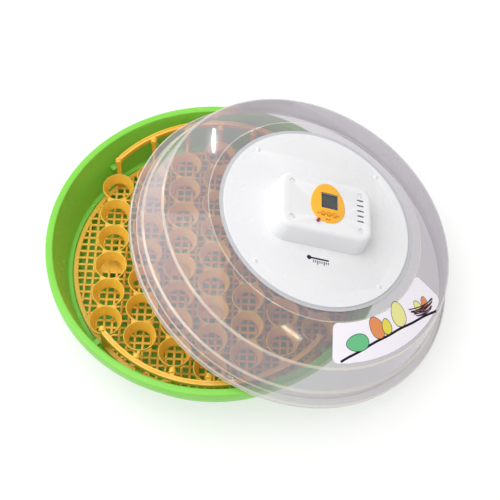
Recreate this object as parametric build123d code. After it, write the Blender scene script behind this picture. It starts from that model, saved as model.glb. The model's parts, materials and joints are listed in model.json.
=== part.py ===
from build123d import *
import math
import os

# Still-air egg incubator: a round bowl that holds a hatching tray and seven rocking rows of egg cups,
# and a clear domed lid that carries the heater and its controls.
# Millimetres and degrees, +Z up. The origin is the centre of the bowl's underside, on the floor.
# The egg rows run along Y. The lid leans on the bowl's lip, towards +X, with its rim on the floor.

# Fits shared by the whole incubator
JOIN_GAP = 0.3           # free space between pieces that move apart
PIN_PLAY = 0.05          # radial play of a pin or tube that turns in its eye
HOLE_PLAY = 0.2          # radial play of a screw in its hole

# Bowl
RIM_TOP = 111.5          # top of the lip above the floor
LIP_WIDTH = 12.0         # from the wall's inner face to the lip's outer edge
LIP_DROP = 20.0          # height of the lip's down-turned skirt
LIP_ROUND = 2.6          # rounding of the lip's edges
BOWL_WALL = 3.0
WALL_DRAFT = 18.0        # how far the wall leans out between the ledge and the lip
LEDGE_W = 7.5            # width of the ledge round the tray
FLOOR_Z = 7.0            # top of the well's floor
SEAT_Z = 25.0            # shelf that carries the tray
LEDGE_Z = 29.0           # ledge round the tray
CHANNEL_RIDGES = (70.0, 125.0, 180.0)   # radii of the ridges that divide the water channels
RIDGE_W = 2.5
RIDGE_H = 9.0
CENTRE_PAD_R = 25.0      # moulded pad that the bowl's middle stands on
FOOT_R = 6.0
FOOT_H = 4.0             # how far a foot stands out below the floor of the bowl
FOOT_SINK = 1.0          # depth of the socket that a foot is glued in
FOOT_INSET = 5.0         # from the well's inner wall to a foot's centre
FOOT_STEP = 15.0         # angle between neighbouring feet of a group of three
LUG_ANGLES = (43.0, 63.0)    # wall lugs, repeated in each quarter
LUG_REACH = 11.0         # how far a wall lug stands out of the wall
LUG_W = 10.0
LUG_Z = 66.0             # top of a wall lug
LUG_H = 16.0

# Hatching tray
TRAY_SHELF = 8.0         # how far the tray lies on the shelf over the well
TRAY_T = 5.0
TRAY_GAP = 1.5           # between the tray's edge and the ledge
TRAY_BAND = 8.0          # plain band round the mesh
MESH_PITCH = 13.3
MESH_BAR = 4.2
PATCH_SPOTS = ((-176.0, -12.0), (-57.0, 6.0), (0.0, -86.0))   # solid patches in the mesh
PATCH_W = 38.0
PATCH_L = 24.0

# Egg rows
ROWS = 7
ROW_GAP = 4.0            # between the cups of neighbouring rows
MIDDLE_CUPS = 9          # cups in the middle row; each row further out has one less
CUP_SHARE = 1.6          # how far the rims of neighbouring cups overlap
CUP_R = 27.0             # outer radius of a cup's rim
CUP_SHELL = 1.8
CUP_FOOT_R = 19.8        # outer radius of a cup's bottom edge
CUP_TOP = 64.0
CUP_DEPTH = 16.0
NECK_W = 31.0            # width of the web between two cups
NECK_ROUND = 6.0
NECK_T = 3.0
POST_GAP = 0.9           # from the middle row's last cup to the circle of the end posts
POST_INSET = 3.5         # from the tray's edge to that circle
POST_W = 8.0
POST_T = 4.0
ARM_H = 12.0             # height of the web between the last cup and its post
PIVOT_Z = 38.0
KNOB_Z = 95.0
PIVOT_EYE_R = 6.0
KNOB_R = 5.0
PIN_R = 3.0
BEARING_T = 4.5

# Link bars
BAR_W = 8.0
BAR_H = 8.0
BAR_BULGE = 11.0         # how far a bar's middle stands outside the middle row's eye
EYE_T = 4.0
EYE_R = 6.0
STUB_W = 7.0
GROOVE_W = 3.0
GROOVE_D = 1.5

# Lid dome, in the lid's own frame: h is the height above its rim
LID_CROSSING = 67.0      # from the lid's middle to where its rim passes the bowl's lip
LID_HOOK = 0.87          # between the leaning lid's band and the lip where they pass
LID_PLAY = 1.2           # between the closed lid's band and the bowl's lip
LID_WALL = 2.0
BAND_H = 8.5             # height of the down-turned band
BAND_ROUND = 2.4
FLANGE_W = 11.7          # from the band's outer face to the skirt
STEP_H = 24.0            # height of the small step in the skirt
STEP_W = 4.0
STEP_DRAFT = 3.0         # how far the skirt leans in below its step
SKIRT_DRAFT = 17.0       # and above it
SLOPE_RUN = 68.5
SLOPE_RISE = 26.5
DOME_TOP = 107.5
DOME_HOLE_R = 135.0
SHOULDER_ROUND = 10.0
VENT_ANGLES = (40.0, 140.0)
VENT_H = 56.0
VENT_R = 2.5

# Disc that closes the dome
DISC_R = 160.0
DISC_T = 2.0
SEAL_MARGIN = 6.5        # how far the seal shows round the disc
SEAL_W = 16.5
SEAL_T = 1.0
DISC_SCREW_R = 148.0     # the disc's four screws stand on this circle
DISC_SCREW_LEN = 12.0
PAN_WALL = 2.5
PAN_DEPTH = 6.0
PAN_MARGIN = 2.0         # how much smaller the pan is than the disc
BOSS_R = 5.0
WIRE_HOLE_R = 6.0
WIRE_HOLE_AT = (34.0, 18.0)
SCREW_R = 1.5
SCREW_HEAD_R = 4.0
SCREW_HEAD_H = 1.8

# Heater, under the disc
HEATER_DROP = 20.5       # from the pan down to the heater's axis
HEATER_R = 8.0
HEATER_LEN = 220.0
HEATER_CAP_LEN = 16.0
HEATER_CAP_WALL = 1.5
CLIP_Y = 84.0
CLIP_W = 10.0
CLIP_WALL = 3.0
REFLECTOR_GAP = 9.0      # between the tube and the reflector
REFLECTOR_T = 0.8
REFLECTOR_LEN = 150.0
PROBE_AT = (46.0, -34.0)
PROBE_R = 3.0
PROBE_LEN = 26.0
CUTOUT_AT = (-52.0, 42.0)
CUTOUT_R = 8.0
CUTOUT_H = 7.0

# Control box on the disc
BOX_L = 168.0            # along X, at the foot
BOX_W = 114.0
BOX_H = 36.5
BOX_CORNER = 27.0
BOX_TAPER = 11.0
BOX_ROUND = 7.0
BOX_WALL = 2.5
BOX_SCREWS = (58.0, 33.0)
PILLAR_R = 4.5
SINK_R = 4.6             # counterbore of a box screw
SINK_D = 2.2
SLOTS = 5
SLOT_PITCH = 9.8
SLOT_L = 12.0
SLOT_W = 3.0
SLOT_AT = (58.0, 4.0)
EGG_AT = (1.0, -3.0)     # widest point of the egg-shaped bezel
EGG_R = 29.0
EGG_LONG = 44.0          # from the widest point to the narrow end
BEZEL_T = 2.8
PANE_AT = (4.0, 8.0)
PANE = 32.0
PANE_T = 1.2
PANE_LIP = 1.5
BUTTON_R = 3.0
BUTTON_XS = {"button_menu": -8.0, "button_up": 2.0, "button_down": 12.0}
BUTTON_Y = -17.0
BUTTON_PROUD = 1.0
BUTTON_TRAVEL = 1.0
BUTTON_FLANGE_R = 4.2
BUTTON_FLANGE_T = 1.2
LED_AT = (-16.0, -31.0)
LED_R = 2.8
LED_PROUD = 6.0          # how far the lamp stands out of the cover
BOARD_T = 1.6
BOARD_L = 104.0
BOARD_W = 78.0
STANDOFF_H = 6.0
DISPLAY_BOARD = (44.0, 62.0)
DISPLAY_DEPTH = 9.0      # from the box's roof to the display board
PARTS_GAP = 4.0          # between the display board and the tall parts beside it
SUPPLY_SIZE = (34.0, 26.0, 14.0)
SUPPLY_COIL = (20.0, 34.0, 12.0)
SUPPLY_Y = 14.0
RELAY_SIZE = (19.0, 15.0, 12.0)
RELAY_Y = -22.0
TERMINAL_SIZE = (24.0, 10.0, 9.0)
TERMINAL_Y = 20.0
TERMINAL_PITCH = 8.0
TERMINAL_SCREW_R = 2.0
SWITCH_SIZE = 6.0
GLAND_X = 40.0
GLAND_H = 12.0           # height of the gland's axis above the disc
GLAND_BORE_R = 3.5
GLAND_BODY_R = 6.0
GLAND_FLANGE_R = 8.5
GLAND_OUT = 7.0          # how far the gland stands out of the wall
GLAND_IN = 10.0

# Label on the dome's slope, and the printed range mark on the disc
LABEL_FROM = -82.0
LABEL_TO = -21.0
LABEL_TOP_MARGIN = 2.0   # from the top of the slope to the label
LABEL_FOOT_MARGIN = 8.5  # from the label to the shoulder
LABEL_CORNER = 9.0
LABEL_T = 0.3
MARK_AT = (0.0, -81.0)
MARK_SIZE = (40.0, 15.0)
MARK_T = 0.3

# Levels and places worked out from the sizes above
CUP_PITCH = 2 * CUP_R - CUP_SHARE
ROW_PITCH = 2 * CUP_R + ROW_GAP
POST_CIRCLE = (MIDDLE_CUPS - 1) / 2 * CUP_PITCH + CUP_R + POST_GAP
TRAY_R = POST_CIRCLE + POST_INSET
TRAY_TOP = SEAT_Z + TRAY_T
WELL_R = TRAY_R - TRAY_SHELF
WALL_FOOT_R = TRAY_R + TRAY_GAP + LEDGE_W
RIM_R = WALL_FOOT_R + WALL_DRAFT + LIP_WIDTH
LID_INNER_R = RIM_R + LID_PLAY
LID_R = LID_INNER_R + LID_WALL
LID_TILT = math.degrees(math.asin((RIM_TOP - JOIN_GAP / 2) / (LID_R + LID_CROSSING)))
LID_X = LID_CROSSING * math.cos(math.radians(LID_TILT)) + math.sqrt(
    LID_CROSSING ** 2 + (RIM_R + LID_HOOK) ** 2 - LID_INNER_R ** 2)
LID_Z = LID_R * math.sin(math.radians(LID_TILT)) + JOIN_GAP / 2
LID_REST = Location((LID_X, 0, LID_Z), (0, LID_TILT, 0))
SKIRT_FOOT_R = LID_R - FLANGE_W
STEP_R = SKIRT_FOOT_R - STEP_DRAFT
SHOULDER_R = STEP_R - SKIRT_DRAFT
SHOULDER_H = DOME_TOP - SLOPE_RISE
SLOPE_TOP_R = SHOULDER_R - SLOPE_RUN
LABEL_IN_R = SLOPE_TOP_R + LABEL_TOP_MARGIN
LABEL_OUT_R = SHOULDER_R - LABEL_FOOT_MARGIN
SEAL_R = DISC_R + SEAL_MARGIN
PAN_R = DISC_R - PAN_MARGIN
DISC_UNDER = DOME_TOP + SEAL_T
DISC_TOP = DISC_UNDER + DISC_T
FLANGE_UNDER = DOME_TOP - LID_WALL
PAN_FLOOR = FLANGE_UNDER - PAN_DEPTH
HEATER_H = PAN_FLOOR - HEATER_DROP
HEATER_CAP_R = HEATER_R + HEATER_CAP_WALL
REFLECTOR_R = HEATER_R + REFLECTOR_GAP
BOX_TOP = DISC_TOP + BOX_H
BOX_ROOF = BOX_TOP - BOX_WALL
BASE_PLATE_TOP = DISC_TOP + BOX_WALL
BOARD_LOW = BASE_PLATE_TOP + STANDOFF_H
DISPLAY_BOARD_TOP = BOX_ROOF - DISPLAY_DEPTH
DISPLAY_LEFT = EGG_AT[0] - DISPLAY_BOARD[0] / 2 - PARTS_GAP
DISPLAY_RIGHT = EGG_AT[0] + DISPLAY_BOARD[0] / 2 + PARTS_GAP
BEZEL_TOP = BOX_TOP + BEZEL_T


def row_x(n):
    return (n - (ROWS + 1) / 2) * ROW_PITCH


def cup_ys(n):
    cups = MIDDLE_CUPS - abs(n - (ROWS + 1) // 2)
    return [(i - (cups - 1) / 2) * CUP_PITCH for i in range(cups)]


def post_y(n):
    return math.sqrt(POST_CIRCLE ** 2 - row_x(n) ** 2)


def eye_y(n):
    """Middle of the link bar's eye, just outside the post."""
    return post_y(n) + POST_T / 2 + JOIN_GAP + EYE_T / 2


def along_y(radius, length, x, y_middle, z):
    """A cylinder along Y, with its middle at the given point."""
    return Pos(x, y_middle, z) * Rot(90, 0, 0) * Cylinder(radius, length)


def standing(radius, bottom, top, x=0.0, y=0.0):
    """A cylinder along Z between two heights."""
    return Pos(x, y, (bottom + top) / 2) * Cylinder(radius, top - bottom)


def block(size_x, size_y, bottom, top, x=0.0, y=0.0):
    """A box between two heights, centred on a point."""
    return Pos(x, y, (bottom + top) / 2) * Box(size_x, size_y, top - bottom)


def ring(outer, inner, bottom, top):
    return standing(outer, bottom, top) - standing(inner, bottom - 1, top + 1)


def corners_at(x, y):
    return [(sx * x, sy * y) for sx in (-1, 1) for sy in (-1, 1)]


def foot_spots():
    reach = WELL_R - FOOT_INSET
    angles = [side + step for side in (0, 90, 180, 270) for step in (-FOOT_STEP, 0, FOOT_STEP)]
    return [(reach * math.cos(math.radians(a)), reach * math.sin(math.radians(a))) for a in angles]


def wall_radius(z):
    """Inner radius of the bowl's wall at a height."""
    share = (z - LEDGE_Z) / (RIM_TOP - LEDGE_Z)
    return WALL_FOOT_R + share * (RIM_R - LIP_WIDTH - WALL_FOOT_R)


def wall_lug(angle):
    """A small gusset moulded on the inside of the bowl's wall."""
    inner = wall_radius(LUG_Z) - LUG_REACH
    wedge = Plane.XZ * make_face(Polyline(
        (inner, LUG_Z), (wall_radius(LUG_Z) + BOWL_WALL / 2, LUG_Z),
        (wall_radius(LUG_Z - LUG_H) + BOWL_WALL / 2, LUG_Z - LUG_H), (inner, LUG_Z)))
    return Rot(0, 0, angle) * extrude(wedge, LUG_W / 2, both=True)


def base_bowl():
    lip_in = RIM_R - LIP_WIDTH
    recess = TRAY_R + TRAY_GAP
    outline = [
        (0, FOOT_H), (WELL_R + BOWL_WALL, FOOT_H), (WELL_R + BOWL_WALL, SEAT_Z - BOWL_WALL),
        (recess + BOWL_WALL, SEAT_Z - BOWL_WALL), (WALL_FOOT_R + BOWL_WALL, LEDGE_Z - BOWL_WALL),
        (lip_in + BOWL_WALL, RIM_TOP - BOWL_WALL), (RIM_R - BOWL_WALL, RIM_TOP - BOWL_WALL),
        (RIM_R - BOWL_WALL, RIM_TOP - LIP_DROP), (RIM_R, RIM_TOP - LIP_DROP), (RIM_R, RIM_TOP),
        (lip_in, RIM_TOP), (WALL_FOOT_R, LEDGE_Z), (recess, LEDGE_Z), (recess, SEAT_Z),
        (WELL_R, SEAT_Z), (WELL_R, FLOOR_Z), (0, FLOOR_Z), (0, FOOT_H)]
    section = Plane.XZ * make_face(Polyline(*outline))
    lip_edges = [v for v in section.vertices() if v.Z > RIM_TOP - 0.1]
    bowl = revolve(fillet(lip_edges, LIP_ROUND), Axis.Z)
    ridges = [ring(r + RIDGE_W / 2, r - RIDGE_W / 2, FLOOR_Z, FLOOR_Z + RIDGE_H) for r in CHANNEL_RIDGES]
    quarters = [a for lug in LUG_ANGLES for a in (lug, 180 - lug, 180 + lug, -lug)]
    bowl += ridges + [wall_lug(a) for a in quarters] + [standing(CENTRE_PAD_R, 0, FLOOR_Z)]
    sockets = [standing(FOOT_R + PIN_PLAY, 0, FOOT_H + FOOT_SINK, x, y) for x, y in foot_spots()]
    return bowl - sockets


def rubber_feet():
    return Compound([standing(FOOT_R, 0, FOOT_H + FOOT_SINK, x, y) for x, y in foot_spots()])


def mesh_tray():
    reach = TRAY_R - TRAY_BAND
    half = (MESH_PITCH - MESH_BAR) / 2
    count = int(reach / MESH_PITCH) + 1
    cells = []
    for i in range(-count, count + 1):
        for j in range(-count, count + 1):
            x, y = i * MESH_PITCH, j * MESH_PITCH
            in_mesh = math.hypot(abs(x) + half, abs(y) + half) < reach
            in_patch = any(abs(x - patch_x) < PATCH_W / 2 and abs(y - patch_y) < PATCH_L / 2
                           for patch_x, patch_y in PATCH_SPOTS)
            if in_mesh and not in_patch:
                cells.append((x, y))
    holes = [Wire.make_polygon([(x - half, y - half), (x + half, y - half), (x + half, y + half),
                                (x - half, y + half)]) for x, y in cells]
    sheet = Pos(0, 0, SEAT_Z) * Face(Wire.make_circle(TRAY_R), holes)
    return extrude(sheet, TRAY_T, dir=(0, 0, 1))


def bearing_y(n):
    return post_y(n) - POST_T / 2 - JOIN_GAP - BEARING_T / 2


def row_bearings():
    """Round-topped lugs on the tray, two for each egg row."""
    lugs = []
    for n in range(1, ROWS + 1):
        for side in (-1, 1):
            x, y = row_x(n), side * bearing_y(n)
            lug = block(2 * PIVOT_EYE_R, BEARING_T, TRAY_TOP, PIVOT_Z, x, y)
            lug += along_y(PIVOT_EYE_R, BEARING_T, x, y, PIVOT_Z)
            lugs.append(lug - along_y(PIN_R + PIN_PLAY, 2 * BEARING_T, x, y, PIVOT_Z))
    return Compound([solid for lug in lugs for solid in lug.solids()])


def egg_row(n):
    """One moulded chain of open cups, with a post, a pivot pin and a link pin at each end."""
    x, ys = row_x(n), cup_ys(n)
    plan = Sketch() + [Pos(0, y) * Circle(CUP_R) for y in ys]
    plan += [Pos(0, (a + b) / 2) * Rectangle(NECK_W, CUP_PITCH) for a, b in zip(ys, ys[1:])]
    inner_corners = [v for v in plan.vertices() if abs(abs(v.X) - NECK_W / 2) < 0.1]
    plan = fillet(inner_corners, NECK_ROUND)
    row = extrude(Pos(x, 0, CUP_TOP - NECK_T) * plan, NECK_T)
    row += [Pos(x, y, CUP_TOP - CUP_DEPTH / 2) * Cone(CUP_FOOT_R, CUP_R, CUP_DEPTH) for y in ys]
    cup_end = ys[-1] + (CUP_R + CUP_FOOT_R) / 2 - CUP_SHELL
    for side in (-1, 1):
        post = post_y(n)
        post_in, post_out = side * (post - POST_T / 2), side * (post + POST_T / 2)
        arm_y, arm_len = side * (cup_end + post) / 2, post - cup_end
        row += block(POST_W, POST_T, PIVOT_Z, KNOB_Z, x, side * post)
        row += block(POST_T, arm_len, CUP_TOP - ARM_H, CUP_TOP, x, arm_y)
        row += along_y(PIVOT_EYE_R, POST_T, x, side * post, PIVOT_Z)
        row += along_y(KNOB_R, POST_T, x, side * post, KNOB_Z)
        pivot_len = JOIN_GAP + BEARING_T
        row += along_y(PIN_R, pivot_len, x, post_in - side * pivot_len / 2, PIVOT_Z)
        link_len = JOIN_GAP + EYE_T
        row += along_y(PIN_R, link_len, x, post_out + side * link_len / 2, KNOB_Z)
    top_in, foot_in = CUP_R - CUP_SHELL, CUP_FOOT_R - CUP_SHELL
    return row - [Pos(x, y, CUP_TOP - CUP_DEPTH / 2) * Cone(foot_in, top_in, CUP_DEPTH) for y in ys]


def link_bar(side):
    """Arc-shaped bar that joins the tops of the rows' posts at one end."""
    x_end, y_end = row_x(ROWS), eye_y(ROWS)
    y_mid = eye_y((ROWS + 1) // 2) + BAR_BULGE
    rise = y_mid - y_end
    arc_r = (x_end ** 2 + rise ** 2) / (2 * rise)
    arc_y = y_mid - arc_r
    low, high = KNOB_Z - BAR_H / 2, KNOB_Z + BAR_H / 2

    def band(width, bottom, top):
        whole = ring(arc_r + width / 2, arc_r - width / 2, bottom, top)
        return Pos(0, arc_y, 0) * whole & block(2 * x_end, 2 * arc_r, bottom, top, 0, arc_y + arc_r)

    bar = band(BAR_W, low, high)
    bar += [standing(BAR_W / 2, low, high, x, y_end) for x in (-x_end, x_end)]
    bar -= band(GROOVE_W, high - GROOVE_D, high + 1)
    for n in range(1, ROWS + 1):
        x, y = row_x(n), eye_y(n)
        bar_y = arc_y + math.sqrt(arc_r ** 2 - x ** 2)
        bar -= block(2 * (EYE_R + 2), BAR_BULGE * 4, low - 1, high + 1, x, y - EYE_T / 2 - BAR_BULGE * 2)
        bar += along_y(EYE_R, EYE_T, x, y, KNOB_Z)
        if bar_y - y > EYE_T:
            bar += block(STUB_W, bar_y - y, low + GROOVE_D, high - GROOVE_D, x, (y + bar_y) / 2)
    depth = EYE_T + 2 * JOIN_GAP
    bar -= [along_y(PIN_R + PIN_PLAY, depth, row_x(n), eye_y(n), KNOB_Z) for n in range(1, ROWS + 1)]
    return bar if side > 0 else Rot(0, 0, 180) * bar


def dome_line():
    """Outer corners of the dome's half-section, from the rim up to the flat top."""
    return [(LID_R, 0), (LID_R, BAND_H), (SKIRT_FOOT_R, BAND_H), (STEP_R, STEP_H),
            (STEP_R - STEP_W, STEP_H + STEP_W / 2), (SHOULDER_R, SHOULDER_H), (SLOPE_TOP_R, DOME_TOP)]


def slope_height(r):
    share = (r - SLOPE_TOP_R) / (SHOULDER_R - SLOPE_TOP_R)
    return DOME_TOP + share * (SHOULDER_H - DOME_TOP)


def lid_dome():
    """Thin clear shell: band, flange, skirt, rounded shoulder, slope and flat ring."""
    right = dome_line()
    below = -4 * LID_WALL
    left = [(-r, h) for r, h in reversed(right)]
    whole = make_face(Polyline((LID_R, below), *right, *left, (-LID_R, below), (LID_R, below)))
    soft = [v for v in whole.vertices() if SHOULDER_H - 0.1 < v.Y < DOME_TOP + 0.1]
    whole = fillet(soft, SHOULDER_ROUND)
    band_edge = [v for v in whole.vertices() if abs(v.Y - BAND_H) < 0.1 and abs(v.X) > LID_R - 1]
    whole = fillet(band_edge, BAND_ROUND)
    hollow = offset(whole, -LID_WALL, kind=Kind.INTERSECTION)
    hollow += Pos(0, below) * Rectangle(2 * (LID_R - LID_WALL), 4 * LID_WALL)
    wall = (whole - hollow) & Pos(LID_R, DOME_TOP / 2) * Rectangle(2 * LID_R, DOME_TOP + 0.01)
    wall -= Pos(DOME_HOLE_R / 2, DOME_TOP) * Rectangle(DOME_HOLE_R, DOME_TOP)
    dome = revolve(Plane.XZ * wall, Axis.Z)
    through = Pos(SHOULDER_R, 0, VENT_H) * Rot(0, 90, 0) * Cylinder(VENT_R, 4 * SKIRT_DRAFT)
    vents = [Rot(0, 0, a) * through for a in VENT_ANGLES]
    screws = [standing(SCREW_R + HOLE_PLAY, 0, DOME_TOP + 1, x, y) for x, y in disc_screw_spots()]
    return dome - vents - screws


def disc_screw_spots():
    reach = DISC_SCREW_R / math.sqrt(2)
    return corners_at(reach, reach)


def disc_seal():
    return ring(SEAL_R, SEAL_R - SEAL_W, DOME_TOP, DISC_UNDER)


def top_disc():
    disc = standing(DISC_R, DISC_UNDER, DISC_TOP)
    disc = fillet(disc.edges().group_by(Axis.Z)[-1], DISC_T / 3)
    hole_r = SCREW_R + HOLE_PLAY
    holes = [standing(hole_r, DISC_UNDER - 1, DISC_TOP + 1, x, y) for x, y in disc_screw_spots()]
    return disc - holes - standing(WIRE_HOLE_R, DISC_UNDER - 1, DISC_TOP + 1, *WIRE_HOLE_AT)


def screws(spots, seat, length):
    """Pan-head screws that stand on a level and reach down."""
    group = []
    for x, y in spots:
        head = standing(SCREW_HEAD_R, seat, seat + SCREW_HEAD_H, x, y)
        head = fillet(head.edges().group_by(Axis.Z)[-1], SCREW_HEAD_H / 2)
        head -= block(SCREW_HEAD_R, SCREW_R / 2, seat + SCREW_HEAD_H / 2, seat + 2 * SCREW_HEAD_H, x, y)
        head += standing(SCREW_R, seat - length, seat, x, y)
        group += head.solids()
    return Compound(group)


def disc_screws():
    return screws(disc_screw_spots(), DISC_TOP, DISC_SCREW_LEN)


def heater_pan():
    """Pan under the disc that closes the dome's opening from below and carries the heater."""
    pan = ring(PAN_R, PAN_R - PAN_WALL, PAN_FLOOR, FLANGE_UNDER)
    pan += standing(PAN_R, PAN_FLOOR, PAN_FLOOR + PAN_WALL)
    pan += [standing(BOSS_R, PAN_FLOOR, FLANGE_UNDER, x, y) for x, y in disc_screw_spots()]
    pan -= [standing(SCREW_R, PAN_FLOOR - 1, FLANGE_UNDER + 1, x, y) for x, y in disc_screw_spots()]
    return pan - standing(WIRE_HOLE_R, PAN_FLOOR - 1, FLANGE_UNDER, *WIRE_HOLE_AT)


def heater_tube():
    return along_y(HEATER_R, HEATER_LEN - HEATER_CAP_LEN, 0, 0, HEATER_H)


def heater_end_caps():
    """Ceramic caps on the two ends of the tube."""
    caps = []
    for side in (-1, 1):
        middle = side * (HEATER_LEN / 2 - HEATER_CAP_LEN / 2)
        cap = along_y(HEATER_CAP_R, HEATER_CAP_LEN, 0, middle, HEATER_H)
        caps += (cap - along_y(HEATER_R, HEATER_LEN - HEATER_CAP_LEN, 0, 0, HEATER_H)).solids()
    return Compound(caps)


def heater_clips():
    """Two round eyes that hold the tube, hung from the pan."""
    clips = []
    for y in (-CLIP_Y, CLIP_Y):
        clip = along_y(HEATER_R + CLIP_WALL, CLIP_W, 0, y, HEATER_H)
        clip += block(2 * CLIP_WALL, CLIP_W, HEATER_H, PAN_FLOOR, 0, y)
        clip += block(2 * (HEATER_R + CLIP_WALL), CLIP_W, PAN_FLOOR - CLIP_WALL / 2, PAN_FLOOR, 0, y)
        clips += (clip - along_y(HEATER_R + PIN_PLAY, CLIP_W + 2, 0, y, HEATER_H)).solids()
    return Compound(clips)


def reflector():
    """Bent sheet above the heater tube, hung from the pan by a rib."""
    outer = along_y(REFLECTOR_R + REFLECTOR_T, REFLECTOR_LEN, 0, 0, HEATER_H)
    sheet = outer - along_y(REFLECTOR_R, REFLECTOR_LEN + 2, 0, 0, HEATER_H)
    sheet &= block(4 * REFLECTOR_R, REFLECTOR_LEN, HEATER_H + HEATER_R / 2, HEATER_H + 2 * REFLECTOR_R)
    rib = block(HEATER_R, REFLECTOR_LEN, HEATER_H + REFLECTOR_R, PAN_FLOOR)
    return sheet + rib


def temperature_probe():
    x, y = PROBE_AT
    probe = standing(PROBE_R, PAN_FLOOR - PROBE_LEN, PAN_FLOOR, x, y)
    probe = fillet(probe.edges().group_by(Axis.Z)[0], PROBE_R * 0.9)
    return probe + standing(2 * PROBE_R, PAN_FLOOR - PROBE_R, PAN_FLOOR, x, y)


def thermal_cutout():
    x, y = CUTOUT_AT
    body = standing(CUTOUT_R, PAN_FLOOR - CUTOUT_H, PAN_FLOOR, x, y)
    ears = block(4 * CUTOUT_R, CUTOUT_R, PAN_FLOOR - CUTOUT_H / 4, PAN_FLOOR, x, y)
    return body + ears


def box_block(inset, top, rounding):
    """The box's outer shape, moved in by an inset, as a tapered block with a rounded top edge."""
    height = top - DISC_TOP
    plan = RectangleRounded(BOX_L - 2 * inset, BOX_W - 2 * inset, BOX_CORNER - inset)
    shape = extrude(Pos(0, 0, DISC_TOP) * plan, height, taper=BOX_TAPER)
    return fillet(shape.edges().group_by(Axis.Z)[-1], rounding)


def button_spots():
    return [(x, BUTTON_Y) for x in BUTTON_XS.values()]


def control_box_cover():
    cover = box_block(0, BOX_TOP, BOX_ROUND)
    cover -= box_block(BOX_WALL, BOX_ROOF, BOX_ROUND - BOX_WALL)
    for x, y in corners_at(*BOX_SCREWS):
        cover -= standing(SCREW_R + HOLE_PLAY, BOX_ROOF - 1, BOX_TOP, x, y)
        cover += standing(SINK_R + BOX_WALL / 2, BOX_TOP - SINK_D - BOX_WALL / 2, BOX_TOP, x, y)
        cover -= standing(SINK_R, BOX_TOP - SINK_D, BOX_TOP + 1, x, y)
        cover -= standing(SCREW_R + HOLE_PLAY, DISC_TOP, BOX_TOP, x, y)
    for i in range(SLOTS):
        y = SLOT_AT[1] + (i - (SLOTS - 1) / 2) * SLOT_PITCH
        slot = extrude(Pos(SLOT_AT[0], y, BOX_ROOF - 1) * SlotOverall(SLOT_L, SLOT_W), BOX_WALL + 2)
        cover -= slot
    cover -= [standing(BUTTON_R + JOIN_GAP, BOX_ROOF - 1, BOX_TOP + 1, x, y) for x, y in button_spots()]
    cover -= standing(LED_R, BOX_ROOF - 1, BOX_TOP + 1, *LED_AT)
    cover -= block(PANE - 2 * PANE_LIP, PANE - 2 * PANE_LIP, BOX_ROOF - 1, BOX_TOP + 1, *PANE_AT)
    return cover - along_y(GLAND_BODY_R, 2 * GLAND_IN, GLAND_X, BOX_W / 2, DISC_TOP + GLAND_H)


def control_box_base():
    """Floor of the box, with pillars for the cover's screws and standoffs for the board."""
    floor = box_block(BOX_WALL + JOIN_GAP, BASE_PLATE_TOP, 0.5)
    pillar_top = BOX_TOP - SINK_D - BOX_WALL / 2
    floor += [standing(PILLAR_R, BASE_PLATE_TOP, pillar_top, x, y) for x, y in corners_at(*BOX_SCREWS)]
    floor += [standing(PILLAR_R / 2 + 1, BASE_PLATE_TOP, BASE_PLATE_TOP + STANDOFF_H, x, y)
              for x, y in board_spots()]
    floor -= [standing(SCREW_R, BASE_PLATE_TOP, BOX_TOP, x, y) for x, y in corners_at(*BOX_SCREWS)]
    return floor - standing(WIRE_HOLE_R, DISC_TOP - 1, BASE_PLATE_TOP + 1, *WIRE_HOLE_AT)


def board_spots():
    return corners_at(BOARD_L / 2 - BOSS_R, BOARD_W / 2 - 2 * BOSS_R)


def box_screws():
    return screws(corners_at(*BOX_SCREWS), BOX_TOP - SINK_D, BOX_H / 2)


def circuit_board():
    """Main board, notched where the pillars pass it."""
    board = block(BOARD_L, BOARD_W, BOARD_LOW, BOARD_LOW + BOARD_T)
    notch = [standing(PILLAR_R + 1, BOARD_LOW - 1, BOARD_LOW + BOARD_T + 1, x, y)
             for x, y in corners_at(*BOX_SCREWS)]
    return board - notch


def on_board(size, x, y):
    """A block that stands on the main board."""
    low = BOARD_LOW + BOARD_T
    return block(size[0], size[1], low, low + size[2], x, y)


def power_supply():
    x = DISPLAY_LEFT - SUPPLY_SIZE[0] / 2
    return on_board(SUPPLY_SIZE, x, SUPPLY_Y) + on_board(SUPPLY_COIL, x, SUPPLY_Y)


def relay():
    body = on_board(RELAY_SIZE, DISPLAY_RIGHT + RELAY_SIZE[0] / 2, RELAY_Y)
    return chamfer(body.edges().group_by(Axis.Z)[-1], 1)


def terminal_block():
    x, top = DISPLAY_RIGHT + TERMINAL_SIZE[0] / 2, BOARD_LOW + BOARD_T + TERMINAL_SIZE[2]
    wells = [standing(TERMINAL_SCREW_R, top - TERMINAL_SIZE[2] / 2, top + 1, x + step, TERMINAL_Y)
             for step in (-TERMINAL_PITCH, 0, TERMINAL_PITCH)]
    return on_board(TERMINAL_SIZE, x, TERMINAL_Y) - wells


def display_board():
    low = DISPLAY_BOARD_TOP - BOARD_T
    return block(*DISPLAY_BOARD, low, DISPLAY_BOARD_TOP, EGG_AT[0], 0)


def lcd_module():
    """Display cell in its frame, standing on the display board under the pane."""
    side = PANE - 2 * PANE_LIP - 2 * JOIN_GAP
    cell = block(side, side, DISPLAY_BOARD_TOP, BOX_TOP - JOIN_GAP, *PANE_AT)
    return cell + block(PANE, PANE, DISPLAY_BOARD_TOP, BOX_ROOF - JOIN_GAP, *PANE_AT)


def tact_switches():
    """Three small switches on the display board, one under each button."""
    body_top = BOX_ROOF - JOIN_GAP - BUTTON_FLANGE_T - BUTTON_TRAVEL - JOIN_GAP
    return Compound([block(SWITCH_SIZE, SWITCH_SIZE, DISPLAY_BOARD_TOP, body_top, x, y)
                     for x, y in button_spots()])


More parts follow.
